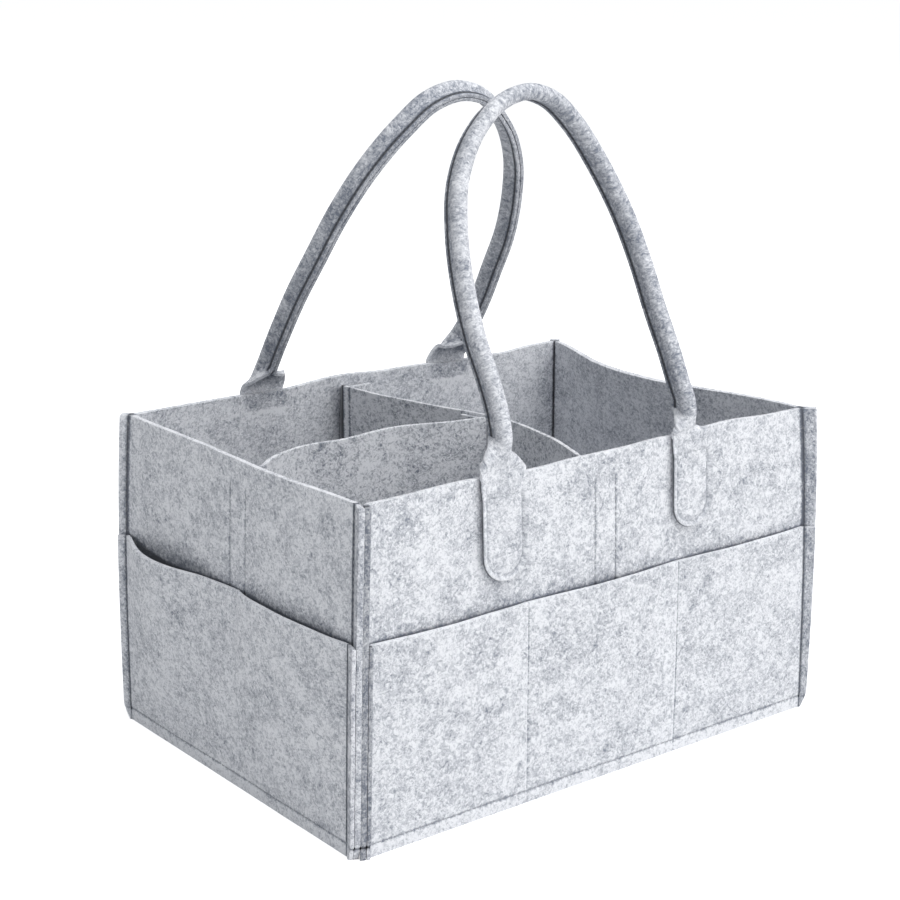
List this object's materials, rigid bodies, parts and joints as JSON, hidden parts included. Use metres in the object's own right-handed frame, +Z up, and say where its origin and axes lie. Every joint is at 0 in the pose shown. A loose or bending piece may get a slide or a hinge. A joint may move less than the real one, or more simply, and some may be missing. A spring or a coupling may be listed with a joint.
{
  "type": "diaper caddy",
  "caption": "Open felt basket with folded felt carrying handles, sewn pockets on every side and a lift-out T-shaped divider held by hook-and-loop tape.",
  "frame": {"origin": "middle of the footprint, on the surface the caddy stands on", "axes": "+Z up, +X along the long side towards the caddy's right as seen from the front, +Y from the front towards the back"},
  "size_m": [0.3365, 0.2378, 0.3632],
  "materials": {
    "wall_felt": "heathered light grey felt, matt and slightly fuzzy",
    "pocket_felt": "heathered light grey felt, matt and slightly fuzzy",
    "handle_felt": "heathered light grey felt, folded and top-stitched",
    "divider_felt": "heathered light grey felt, matt",
    "loop_tape": "grey loop pile tape",
    "hook_tape": "grey woven hook tape"
  },
  "bodies": {
    "basket": {"base_panel": "wall_felt", "front_wall": "wall_felt", "back_wall": "wall_felt", "left_wall": "wall_felt", "right_wall": "wall_felt", "front_pocket": "pocket_felt", "back_pocket": "pocket_felt", "left_pocket": "pocket_felt", "right_pocket": "pocket_felt", "front_handle_left_tab": "handle_felt", "front_handle_right_tab": "handle_felt", "back_handle_left_tab": "handle_felt", "back_handle_right_tab": "handle_felt", "front_loop_strip": "loop_tape", "back_loop_strip": "loop_tape", "left_loop_strip": "loop_tape"},
    "front_handle": {"front_handle_grip": "handle_felt"},
    "back_handle": {"back_handle_grip": "handle_felt"},
    "divider_insert": {"cross_divider": "divider_felt", "long_divider": "divider_felt", "cross_divider_front_hook": "hook_tape", "cross_divider_back_hook": "hook_tape", "long_divider_wall_hook": "hook_tape"}
  },
  "joints": [
    {"name": "front_handle_fold", "type": "hinge", "parent": "basket", "child": "front_handle", "pos_m": [0, -0.1111, 0.18], "axis": [1, 0, 0], "range_deg": [-5, 163]},
    {"name": "back_handle_fold", "type": "hinge", "parent": "basket", "child": "back_handle", "pos_m": [0, 0.1111, 0.18], "axis": [-1, 0, 0], "range_deg": [0, 172]},
    {"name": "divider_lift", "type": "slide", "parent": "basket", "child": "divider_insert", "axis": [0, 0, 1], "range_m": [0, 0.13]}
  ]
}
